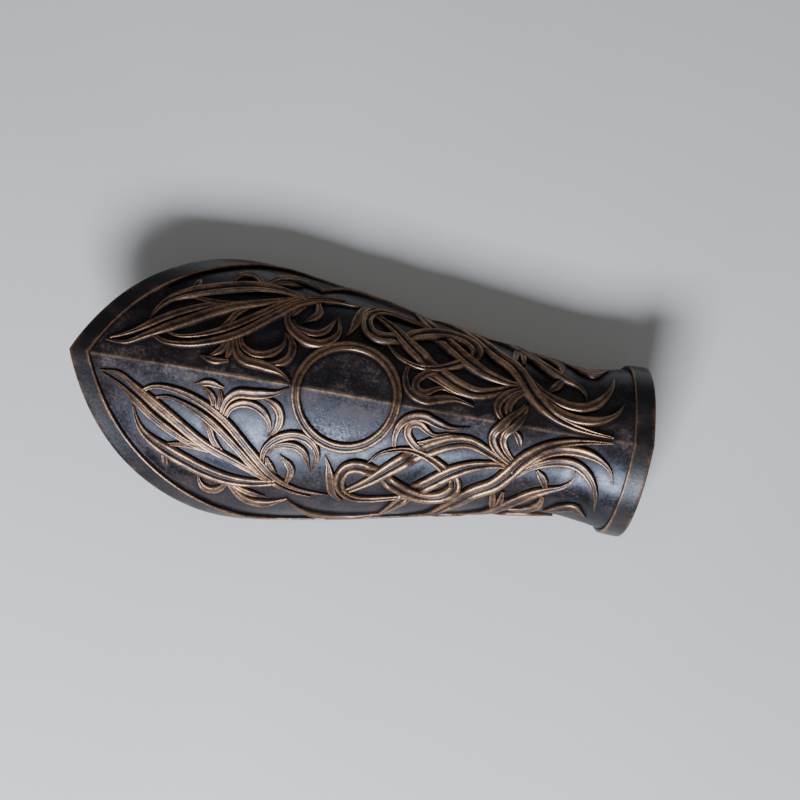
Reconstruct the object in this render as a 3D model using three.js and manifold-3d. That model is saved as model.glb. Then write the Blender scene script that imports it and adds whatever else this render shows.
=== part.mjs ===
// A forearm guard that lies on its open back with its ridge up.
// Millimetres. X runs from the elbow tip to the wrist, Y across, Z up from the surface it lies on.
import * as THREE from "three";
import Module from "manifold-3d";

const wasm = await Module();
wasm.setup();

const LENGTH = 275;
const WALL = 3;
const GAP = 0.3;

// The elbow end is a pointed arch: its edge moves back by these lengths as the side is gone down.
const ARCH_LEAD = 44;
const ARCH_SWEEP = 38;
// The wrist end leans back a little on its way down.
const WRIST_LEAD = 3;
const WRIST_SWEEP = 2.5;

const RIM_WIDTH = 9;
const RIM_HEIGHT = 2;
const RIM_CHAMFER = 0.7;
const WRIST_RIM_WIDTH = 9.5;
const SEAT_DEPTH = 0.6;

const RING_X = 131;
const RING_INNER = 21.3;
const RING_OUTER = 25.8;
const RING_HEIGHT = 2;
const RING_GROOVE = 0.9;

const STRAP_WIDTH = 22;
const STRAP_THICK = 2.2;
const STRAP_CLEAR = 0.6;
// How far the strap ends run up the wall, in shares of the side.
const STRAP_TURN = [0, 0.1, 0.2, 0.3];

// Distance round the side for one share of it.
const SIDE_ROUND = 62;

// Rows along the length: half width, height of the ridge, height of the widest line,
// and the angle at which the side of the section leaves the ridge.
const SECTIONS = [
  { x: 0, half: 61.5, ridge: 52, widest: 2, leave: 34 },
  { x: 40, half: 61.5, ridge: 56.5, widest: 5.5, leave: 34 },
  { x: 84, half: 61.3, ridge: 58, widest: 8, leave: 33 },
  { x: 120, half: 56.4, ridge: 57, widest: 8.5, leave: 31 },
  { x: 164, half: 48, ridge: 54, widest: 12, leave: 26 },
  { x: 201, half: 40.8, ridge: 52, widest: 16, leave: 20 },
  { x: 234, half: 36, ridge: 50.5, widest: 19.5, leave: 15 },
  { x: 250, half: 37.3, ridge: 51.5, widest: 19.5, leave: 12 },
  { x: 262, half: 39.3, ridge: 53.5, widest: 19.5, leave: 10 },
  { x: 275, half: 39.5, ridge: 54.5, widest: 19.5, leave: 10 },
];

// Tendrils of one half. Path: length from the elbow tip, distance out from the ridge in plan.
// Width across the foot, height over the wall, share of the width left at either end.
const TENDRILS = [
  { name: "spear_upper", width: 4.4, high: 2, ends: [0.15, 0.7],
    path: [[15.8, 7], [25, 7], [34, 12.1], [52, 22.7], [70, 32.8], [84, 37.5], [99, 42.8]] },
  { name: "spear_lower", width: 3.4, high: 1.7, ends: [0.15, 0.6],
    path: [[17, 7.9], [26.7, 12.6], [43.5, 24.1], [58, 31.3], [74, 35.6]] },
  { name: "leaf_upper", width: 3.6, high: 2, ends: [0.6, 0.5],
    path: [[37, 13.6], [45, 10.1], [58, 11.6], [75, 19], [91.4, 32.3], [102, 40.9], [114, 45], [129, 45]] },
  { name: "leaf_lower", width: 3.4, high: 1.8, ends: [0.3, 0.5],
    path: [[41.5, 16.6], [50, 14.4], [67, 19.9], [84.5, 31.8], [96, 40.7], [109, 46.4], [121, 47.2]] },
  { name: "under_leaf", width: 6, high: 1.9, ends: [0.15, 0.6],
    path: [[33.3, 20], [36.3, 27.2], [41, 32.6], [58, 40.2], [79, 45.8], [104, 43.6]] },
  { name: "under_hook", width: 3.4, high: 1.6, ends: [0.15, 0.7],
    path: [[67.2, 46], [68.7, 51.1], [74, 52.7], [79.5, 50.3], [81.5, 46.8]] },
  { name: "keel_crescent", width: 3.9, high: 1.8, ends: [0.6, 0.15],
    path: [[81.8, 47.3], [86, 51.2], [92, 54], [100, 53.8], [110, 50]] },
  { name: "horn", width: 4.2, high: 2, ends: [0.6, 0.15],
    path: [[75.8, 15.5], [77.4, 11], [81.5, 7.6], [90, 6.6], [99, 4.6], [104.4, 1.4]] },
  { name: "claw_outer", width: 3.6, high: 1.8, ends: [0.5, 0.15],
    path: [[91.4, 7.6], [97, 8.7], [101, 11.4], [102.5, 15.9], [101, 21.1], [97.4, 24.6]] },
  { name: "claw_inner", width: 3.4, high: 1.7, ends: [0.6, 0.15],
    path: [[77.6, 17.7], [80, 13.8], [85, 11.5], [90.5, 12], [95.5, 15], [98, 19], [97.6, 24]] },
  { name: "curl_outer", width: 3.9, high: 2, ends: [0.6, 0.15],
    path: [[97, 37], [96.4, 32], [100, 26.3], [106, 22.6], [112, 21.5], [118, 23.3], [122, 29],
      [120, 37.3]] },
  { name: "curl_inner", width: 3.4, high: 1.8, ends: [0.5, 0.15],
    path: [[99.5, 31.5], [101, 28.6], [106, 26.6], [112, 26.6], [116.2, 29.4], [119.6, 36.6]] },
  { name: "spur", width: 3.4, high: 1.6, ends: [0.7, 0.15],
    path: [[109, 43], [110.4, 36.7], [104.6, 31.3]] },
  { name: "stub", width: 3.9, high: 1.8, ends: [0.15, 0.6],
    path: [[125.6, 28.5], [128, 33.1], [129.4, 39], [131.5, 45.2], [136, 46.4]] },
  { name: "swan_stem", width: 6.5, high: 1.8, ends: [0.5, 0.5], groove: true,
    path: [[136, 42.8], [147, 36.3], [154, 30.7], [164, 23.1], [173, 17.2], [183, 12.6], [191, 11.4],
      [202, 14.9], [211, 19]] },
  { name: "arch_loop", width: 5.7, high: 2.3, ends: [0.15, 0.4], groove: true,
    path: [[145.5, 27.9], [150, 23.3], [157, 20.2], [164, 19.1], [173, 20.8], [183, 26], [188.2, 31.5],
      [185, 35.5], [178, 38.2], [169, 38.2], [160, 35.8], [150, 31.7], [141, 30.2], [135.6, 32.2],
      [133, 37], [134.5, 42.2], [142, 44.5], [151.5, 43], [166, 39.4]] },
  { name: "bridge_stem", width: 6.2, high: 2, ends: [0.15, 0.5], groove: true,
    path: [[152, 53], [158.5, 46], [169.5, 36.2], [176, 31.8], [184, 26.3], [193, 21.8], [205, 19],
      [211, 19]] },
  { name: "long_crescent", width: 6.2, high: 2.2, ends: [0.15, 0.12], groove: true,
    path: [[164, 56], [171, 50.5], [178, 45.4], [190, 37.2], [196, 32.7], [205, 28.1], [211, 22.4],
      [216.5, 15.6], [226, 8], [235, 4.2], [245, 2.2], [256.5, 1.2]] },
  { name: "spiral_outer", width: 3.9, high: 1.9, ends: [0.6, 0.12],
    path: [[156.6, 18.6], [156.2, 13.4], [158.2, 7.9], [162.3, 4.8], [168.3, 3.7], [174, 5.3], [181, 6.6],
      [190, 4.7]] },
  { name: "spiral_inner", width: 3.4, high: 1.8, ends: [0.6, 0.15],
    path: [[178, 22.8], [170.7, 19], [164.7, 15.7], [161.6, 11.7], [162.4, 8], [166.5, 7], [170.6, 9.4],
      [174, 10.8], [181, 8.6]] },
  { name: "twist_a", width: 3.6, high: 2.1, ends: [0.6, 0.6],
    path: [[211.4, 17.2], [207, 14.9], [203, 11.5], [200.9, 8.1], [201.3, 4.7], [204.6, 1]] },
  { name: "twist_b", width: 3.4, high: 1.8, ends: [0.6, 0.6],
    path: [[212, 15.5], [207.8, 11.5], [206, 7.5], [206.8, 4.1], [210.2, 1]] },
  { name: "mid_crescent", width: 3.9, high: 2, ends: [0.6, 0.12],
    path: [[213, 21.6], [220.4, 14.9], [228, 9.7], [236, 7.4], [244, 7.3], [251, 9], [257, 13],
      [259.7, 18.4]] },
  { name: "low_crescent", width: 3.9, high: 2, ends: [0.6, 0.12],
    path: [[213.6, 23.2], [220.4, 17.8], [228, 14.3], [235, 12.8], [242, 13.4], [248, 17], [253, 24],
      [254.5, 31.6]] },
  { name: "wrist_hook", width: 3.6, high: 1.8, ends: [0.12, 0.2],
    path: [[242, 16.2], [241.2, 20.2], [237, 23.8], [230, 26.2], [222, 29.8], [212, 35.6], [204, 40],
      [190, 49]] },
  { name: "base_crescent", width: 3.6, high: 1.7, ends: [0.15, 0.15],
    path: [[231.4, 35], [238.5, 32.4], [245, 31.2], [251.5, 35]] },
];

const rad = THREE.MathUtils.degToRad;

// One column of the section table, read smoothly at any length.
function column(name, x) {
  const last = SECTIONS.length - 1;
  const at = Math.min(Math.max(x, 0), LENGTH);
  let i = 0;
  while (i < last - 1 && SECTIONS[i + 1].x < at) i += 1;
  const slope = (k) => {
    const before = SECTIONS[Math.max(k - 1, 0)];
    const after = SECTIONS[Math.min(k + 1, last)];
    return (after[name] - before[name]) / (after.x - before.x);
  };
  const a = SECTIONS[i];
  const b = SECTIONS[i + 1];
  const span = b.x - a.x;
  const t = (at - a.x) / span;
  const s = 1 - t;
  const pull = slope(i) * span * t * s * s - slope(i + 1) * span * t * t * s;
  const past = x < at ? slope(0) * (x - at) : slope(last) * (x - at);
  return a[name] * (1 + 2 * t) * s * s + b[name] * t * t * (3 - 2 * t) + pull + past;
}

// The section at one length: side angle runs from the ridge, share 0, past the widest line, share 1.
function section(x) {
  const leave = rad(column("leave", x));
  const ridge = column("ridge", x);
  return { leave, ridge, half: column("half", x), drop: ridge - column("widest", x) };
}

function wallPoint(x, share) {
  const s = section(x);
  const angle = s.leave + Math.abs(share) * (Math.PI / 2 - s.leave);
  const out = (s.half * (Math.sin(angle) - Math.sin(s.leave))) / (1 - Math.sin(s.leave));
  const fall = (s.drop * (Math.cos(s.leave) - Math.cos(angle))) / Math.cos(s.leave);
  return new THREE.Vector3(x, share < 0 ? -out : out, s.ridge - fall);
}

// Share of the side at a plan distance out from the ridge, and further round past the widest line.
function shareAt(x, out) {
  const s = section(x);
  const part = Math.min(Math.abs(out) / s.half, 0.985);
  const angle = Math.asin(Math.sin(s.leave) + part * (1 - Math.sin(s.leave)));
  const further = Math.max(Math.abs(out) - 0.985 * s.half, 0) / SIDE_ROUND;
  return Math.sign(out) * ((angle - s.leave) / (Math.PI / 2 - s.leave) + further);
}

// Share of the side at which the wall meets the surface it lies on.
function shareAtFloor(x) {
  const s = section(x);
  const angle = Math.acos(Math.cos(s.leave) * (1 - s.ridge / s.drop));
  return (angle - s.leave) / (Math.PI / 2 - s.leave);
}

const archX = (share) => ARCH_LEAD * Math.abs(share) + ARCH_SWEEP * share * share;
const wristX = (share) => LENGTH - WRIST_LEAD * Math.abs(share) - WRIST_SWEEP * share * share;

const STEP = 0.02;
const RIDGE_SOFT = 0.03;

// Directions along the length and down the side, and the way out of the wall.
function wallFrame(x, share) {
  const side = share < 0 ? -1 : 1;
  const near = side * Math.max(Math.abs(share), RIDGE_SOFT);
  const along = wallPoint(x + 1, near).sub(wallPoint(x - 1, near)).divideScalar(2);
  const down = wallPoint(x, near + STEP / 2).sub(wallPoint(x, near - STEP / 2)).divideScalar(STEP);
  const out = along.clone().cross(down).normalize();
  const blend = Math.abs(share) / RIDGE_SOFT;
  if (blend < 1) out.y *= blend;
  return { along, down, out: out.normalize() };
}

function skin(x, share, rise) {
  return wallPoint(x, share).addScaledVector(wallFrame(x, share).out, rise);
}

// A closed body from a grid of points on top and the same grid below.
function slab(rows, columns, top, bottom, ringed = false) {
  const points = [];
  const faces = [];
  const layer = rows * columns;
  for (const spot of [top, bottom]) {
    for (let i = 0; i < rows; i += 1) {
      for (let j = 0; j < columns; j += 1) points.push(spot(i, j));
    }
  }
  const quad = (a, b, c, d) => faces.push(a, b, c, a, c, d);
  const id = (i, j) => (i % rows) * columns + j;
  const spans = ringed ? rows : rows - 1;
  for (let i = 0; i < spans; i += 1) {
    for (let j = 0; j < columns - 1; j += 1) {
      quad(id(i, j), id(i + 1, j), id(i + 1, j + 1), id(i, j + 1));
      quad(layer + id(i, j), layer + id(i, j + 1), layer + id(i + 1, j + 1), layer + id(i + 1, j));
    }
    const e = columns - 1;
    quad(id(i, 0), layer + id(i, 0), layer + id(i + 1, 0), id(i + 1, 0));
    quad(id(i, e), id(i + 1, e), layer + id(i + 1, e), layer + id(i, e));
  }
  for (let j = 0; j < columns - 1 && !ringed; j += 1) {
    const e = rows - 1;
    quad(id(0, j), id(0, j + 1), layer + id(0, j + 1), layer + id(0, j));
    quad(id(e, j), layer + id(e, j), layer + id(e, j + 1), id(e, j + 1));
  }
  return body(points, faces);
}

// A solid from shared points and faces, turned to face out.
function body(points, faces) {
  let volume = 0;
  for (let k = 0; k < faces.length; k += 3) {
    const [a, b, c] = [points[faces[k]], points[faces[k + 1]], points[faces[k + 2]]];
    volume += a.dot(b.clone().cross(c));
  }
  const triVerts = new Uint32Array(volume < 0 ? faces.slice().reverse() : faces);
  const vertProperties = new Float32Array(points.flatMap((p) => [p.x - LENGTH / 2, p.y, p.z]));
  return new wasm.Manifold(new wasm.Mesh({ numProp: 3, vertProperties, triVerts }));
}

function lerp(a, b, t) {
  return a + (b - a) * t;
}

// Moves a spot of the wall by a distance along the wall, square to the way its edge runs.
function stepIn(spot, run, distance) {
  const { along, down, out } = wallFrame(spot.x, spot.share);
  const inward = out.clone().cross(run).normalize().multiplyScalar(distance);
  const aa = along.dot(along);
  const ad = along.dot(down);
  const dd = down.dot(down);
  const det = aa * dd - ad * ad;
  const pa = along.dot(inward);
  const pd = down.dot(inward);
  return { x: spot.x + (pa * dd - pd * ad) / det, share: spot.share + (pd * aa - pa * ad) / det };
}

// Spots along the free edge of one half: down the arch, then along the surface it lies on.
function edgeSpots() {
  const spots = [];
  const archEnd = 1.12;
  for (let k = 1; k <= 13; k += 1) {
    const share = archEnd * (k / 13);
    spots.push({ x: archX(share), share, sunk: 0 });
  }
  const first = 112;
  const floorRows = 9;
  for (let k = 0; k < floorRows; k += 1) {
    const x = lerp(first, LENGTH, k / (floorRows - 1));
    spots.push({ x, share: shareAtFloor(x), sunk: 5 });
  }
  return spots;
}

// The border band of both halves between two distances from the edge.
function borderBand(from, to, across, low) {
  const half = edgeSpots();
  const wide = across.length;
  const tipRun = wallPoint(archX(STEP), STEP).sub(wallPoint(0, 0)).normalize();
  const rows = [across.map((a) => ({ x: lerp(from, to, a.at) / Math.abs(tipRun.y), share: 0 }))];
  half.forEach((spot, k) => {
    const before = k === 0 ? { x: 0, share: 0 } : half[k - 1];
    const after = half[Math.min(k + 1, half.length - 1)];
    const run = wallPoint(before.x, before.share).sub(wallPoint(after.x, after.share));
    rows.push(across.map((a) => stepIn(spot, run, lerp(from - spot.sunk, to, a.at))));
  });
  const reach = rows.length - 1;
  const spotAt = (i, j) => {
    const s = rows[Math.abs(i - reach)][j];
    return { x: s.x, share: i < reach ? -s.share : s.share };
  };
  const top = (i, j) => skin(spotAt(i, j).x, spotAt(i, j).share, across[j].rise);
  const bottom = (i, j) => skin(spotAt(i, j).x, spotAt(i, j).share, low);
  return slab(2 * reach + 1, wide, top, bottom);
}

// The border band across the wrist end.
function wristBand(from, to, across, low) {
  const rows = 33;
  const reach = 1.75;
  const spotX = (share, at) => wristX(share) - lerp(from, to, at);
  const shareOf = (i) => lerp(-reach, reach, i / (rows - 1));
  const top = (i, j) => skin(spotX(shareOf(i), across[j].at), shareOf(i), across[j].rise);
  const bottom = (i, j) => skin(spotX(shareOf(i), across[j].at), shareOf(i), low);
  return slab(rows, across.length, top, bottom);
}

// A ring that is round in plan and follows the wall over the ridge.
function ringBand(inner, outer, across, low) {
  const rows = 32;
  const spot = (i, j, rise) => {
    const turn = (i / rows) * Math.PI * 2;
    const r = lerp(inner, outer, across[j].at);
    const x = RING_X + r * Math.cos(turn);
    const y = r * Math.sin(turn);
    return skin(x, Math.abs(y) < 1e-6 ? 0 : shareAt(x, y), rise);
  };
  const top = (i, j) => spot(i, j, across[j].rise);
  const bottom = (i, j) => spot(i, j, low);
  return slab(rows, across.length, top, bottom, true);
}

// One tendril: a strand laid on the wall, thinned to its ends, some with a groove down the middle.
function tendril(row, side) {
  const knots = row.path.map(([x, y]) => new THREE.Vector3(x, y, 0));
  const curve = new THREE.CatmullRomCurve3(knots, false, "centripetal");
  const steps = Math.max(4, knots.length - 1);
  const spots = curve.getPoints(steps);
  const foot = -1;
  const points = [];
  const profile = row.groove
    ? [[-1, 0], [-0.66, 1], [0, 0.72], [0.66, 1], [1, 0]]
    : [[-1, 0], [0, 1], [1, 0]];
  const wide = profile.length;
  spots.forEach((spot, k) => {
    const at = (q) => wallPoint(q.x, shareAt(q.x, side * q.y));
    const run = at(spots[Math.min(k + 1, steps)]).sub(at(spots[Math.max(k - 1, 0)]));
    const middle = at(spot);
    const { out } = wallFrame(spot.x, shareAt(spot.x, side * spot.y));
    const beside = out.clone().cross(run).normalize();
    const t = k / steps;
    const swell = Math.min(1, Math.min(lerp(row.ends[0], 1, t * 3), lerp(row.ends[1], 1, (1 - t) * 3)));
    const rise = row.high * lerp(0.45, 1, swell);
    profile.forEach(([a, b]) => {
      const p = middle.clone().addScaledVector(beside, (a * swell * row.width) / 2);
      points.push(p.addScaledVector(out, lerp(foot, rise, b)));
    });
  });
  const faces = [];
  for (let k = 0; k < steps; k += 1) {
    for (let j = 0; j < wide; j += 1) {
      const n = (j + 1) % wide;
      const [a, b, c, d] = [k * wide + j, k * wide + n, (k + 1) * wide + n, (k + 1) * wide + j];
      faces.push(a, b, c, a, c, d);
    }
  }
  const end = steps * wide;
  for (let j = 1; j < wide - 1; j += 1) {
    faces.push(0, j + 1, j);
    faces.push(end, end + j, end + j + 1);
  }
  return body(points, faces);
}

// The bare wall, run on below the surface it lies on.
function bareWall(thick) {
  const rows = 25;
  const columns = 15;
  const reach = 1.75;
  const shareOf = (i) => lerp(-reach, reach, i / (rows - 1));
  const xOf = (i, j) => lerp(archX(shareOf(i)), wristX(shareOf(i)), j / (columns - 1));
  const top = (i, j) => skin(xOf(i, j), shareOf(i), 0);
  const bottom = (i, j) => skin(xOf(i, j), shareOf(i), -thick);
  return slab(rows, columns, top, bottom);
}

// Share of the side at which a layer inside the wall has come down to a height.
function shareAtHeight(x, depth, height) {
  let high = 0.3;
  let low = 1.8;
  for (let k = 0; k < 30; k += 1) {
    const middle = (high + low) / 2;
    if (skin(x, middle, -depth).z > height) high = middle;
    else low = middle;
  }
  return low;
}

// A plain strap across the open back, its ends turned up against the inside of the wall.
function strap(middle) {
  const bite = 0.6;
  const line = (x, depth, height) => {
    const foot = shareAtHeight(x, depth, height);
    const up = STRAP_TURN.map((part) => skin(x, foot - part, -depth));
    const over = up.map((p) => new THREE.Vector3(p.x, -p.y, p.z));
    return [...up.reverse(), ...over];
  };
  const ends = [-0.5, 0, 0.5].map((part) => middle + part * STRAP_WIDTH);
  const inner = WALL + GAP + STRAP_THICK;
  const top = (i, j) => line(ends[i], inner, STRAP_CLEAR + STRAP_THICK)[j];
  const bottom = (i, j) => line(ends[i], WALL - bite, STRAP_CLEAR)[j];
  return slab(ends.length, STRAP_TURN.length * 2, top, bottom).subtract(bareWall(WALL + GAP));
}

// Everything under the surface that the guard lies on.
function underFloor() {
  const box = new THREE.BoxGeometry(LENGTH * 2, LENGTH * 2, 200);
  const spots = box.getAttribute("position");
  const corners = [];
  const faces = [];
  for (const k of box.index.array) {
    const p = new THREE.Vector3().fromBufferAttribute(spots, k);
    p.x += LENGTH / 2;
    p.z -= 100;
    let at = corners.findIndex((q) => q.distanceTo(p) < 1e-6);
    if (at < 0) at = corners.push(p) - 1;
    faces.push(at);
  }
  return body(corners, faces);
}

function mesh(name, solid, finish) {
  const { numProp, vertProperties, triVerts } = solid.getMesh();
  const geometry = new THREE.BufferGeometry();
  const spots = new Float32Array((vertProperties.length / numProp) * 3);
  for (let k = 0; k < spots.length; k += 1) spots[k] = vertProperties[Math.floor(k / 3) * numProp + (k % 3)];
  geometry.setAttribute("position", new THREE.BufferAttribute(spots, 3));
  geometry.setIndex(new THREE.BufferAttribute(new Uint32Array(triVerts), 1));
  geometry.computeVertexNormals();
  const made = new THREE.Mesh(geometry, new THREE.MeshStandardMaterial(finish));
  made.name = name;
  return made;
}

const flatBand = (height) => [
  { at: 0, rise: height - RIM_CHAMFER },
  { at: 0.12, rise: height },
  { at: 0.88, rise: height },
  { at: 1, rise: height - RIM_CHAMFER },
];
const groovedBand = [
  { at: 0, rise: RING_HEIGHT - RIM_CHAMFER },
  { at: 0.24, rise: RING_HEIGHT },
  { at: 0.5, rise: RING_HEIGHT - RING_GROOVE },
  { at: 0.76, rise: RING_HEIGHT },
  { at: 1, rise: RING_HEIGHT - RIM_CHAMFER },
];
const cutter = [{ at: 0, rise: 5 }, { at: 1, rise: 5 }];
const low = GAP - SEAT_DEPTH;

const floor = underFloor();
const wristSeat = wristBand(-4, WRIST_RIM_WIDTH + GAP, cutter, -SEAT_DEPTH);
const edgeSeat = borderBand(-4, RIM_WIDTH + GAP, cutter, -SEAT_DEPTH);
const ringSeat = ringBand(RING_INNER - GAP, RING_OUTER + GAP, cutter, -SEAT_DEPTH);

let shell = bareWall(WALL);
for (const row of TENDRILS) {
  for (const side of [-1, 1]) shell = shell.add(tendril(row, side));
}
shell = shell.subtract(ringSeat).subtract(edgeSeat).subtract(wristSeat).subtract(floor);

const wristRim = wristBand(0, WRIST_RIM_WIDTH, flatBand(RIM_HEIGHT), low).subtract(floor);
const wristRoom = wristBand(-30, WRIST_RIM_WIDTH + GAP, cutter, -5);
const edgeRim = borderBand(0, RIM_WIDTH, flatBand(RIM_HEIGHT), low).subtract(wristRoom).subtract(floor);
const ringBoss = ringBand(RING_INNER, RING_OUTER, groovedBand, low);

const PATINA = { color: 0x241914, roughness: 0.42, metalness: 0.35 };
const RUBBED = { color: 0x3a2419, roughness: 0.4, metalness: 0.45 };
const STRAP = { color: 0x1c1512, roughness: 0.7, metalness: 0 };

const group = new THREE.Group();
group.name = "bracer";
group.add(
  mesh("shell", shell, PATINA),
  mesh("edge_rim", edgeRim, RUBBED),
  mesh("wrist_rim", wristRim, RUBBED),
  mesh("ring_boss", ringBoss, RUBBED),
  mesh("elbow_strap", strap(128), STRAP),
  mesh("wrist_strap", strap(222), STRAP),
);

export default group;
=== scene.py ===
"""A forearm guard of moulded, antiqued leather: ridged wall, borders, ring, tendrils and straps."""
import math
from collections import namedtuple

import bmesh
import bpy
import numpy as np
from bpy.props import FloatProperty, FloatVectorProperty, PointerProperty
from bpy.types import Operator, Panel, PropertyGroup
from mathutils import Matrix, Vector, kdtree


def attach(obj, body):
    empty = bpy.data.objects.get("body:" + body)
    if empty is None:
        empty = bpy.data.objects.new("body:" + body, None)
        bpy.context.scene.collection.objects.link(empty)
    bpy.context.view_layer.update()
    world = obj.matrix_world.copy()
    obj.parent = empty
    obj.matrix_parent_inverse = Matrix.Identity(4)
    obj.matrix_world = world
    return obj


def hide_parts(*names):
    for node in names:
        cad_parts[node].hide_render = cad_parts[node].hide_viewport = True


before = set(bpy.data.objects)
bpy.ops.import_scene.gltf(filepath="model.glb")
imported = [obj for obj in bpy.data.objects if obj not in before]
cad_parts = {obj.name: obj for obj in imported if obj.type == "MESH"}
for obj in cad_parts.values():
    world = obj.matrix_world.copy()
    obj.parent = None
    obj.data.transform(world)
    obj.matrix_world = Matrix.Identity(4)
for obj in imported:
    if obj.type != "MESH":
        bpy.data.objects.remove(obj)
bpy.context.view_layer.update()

bl_info = {
    "name": "Ridged Forearm Guard",
    "version": (1, 0, 0),
    "blender": (4, 5, 0),
    "location": "View3D > Sidebar > Guard",
    "description": "Builds the looks of a moulded forearm guard on its packed frame",
    "category": "Add Mesh",
}

MM = 0.001
LENGTH = 275.0

# Lengths by which the edge of the elbow end and of the wrist end moves back down the side.
ARCH_LEAD = 44.0
ARCH_SWEEP = 38.0
WRIST_LEAD = 3.0
WRIST_SWEEP = 2.5

# Columns along the length, in millimetres and degrees: place, half width, height of the ridge,
# height of the widest line, angle at which the side leaves the ridge.
SECTIONS = {
    "x": (0, 40, 84, 120, 164, 201, 234, 250, 262, 275),
    "half": (61.5, 61.5, 61.3, 56.4, 48, 40.8, 36, 37.3, 39.3, 39.5),
    "ridge": (52, 56.5, 58, 57, 54, 52, 50.5, 51.5, 53.5, 54.5),
    "widest": (2, 5.5, 8, 8.5, 12, 16, 19.5, 19.5, 19.5, 19.5),
    "leave": (34, 34, 33, 31, 26, 20, 15, 12, 10, 10),
}

# Share of the side over which the arch turns into the straight lower edge.
EDGE_TURN = 0.12
# Distance round the side, in millimetres, for one share of it.
SIDE_ROUND = 62.0
# Part of the half width up to which a place in plan is found on the curve of the side.
PLAN_LIMIT = 0.985

Strand = namedtuple("Strand", "name width high ends groove path")

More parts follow.
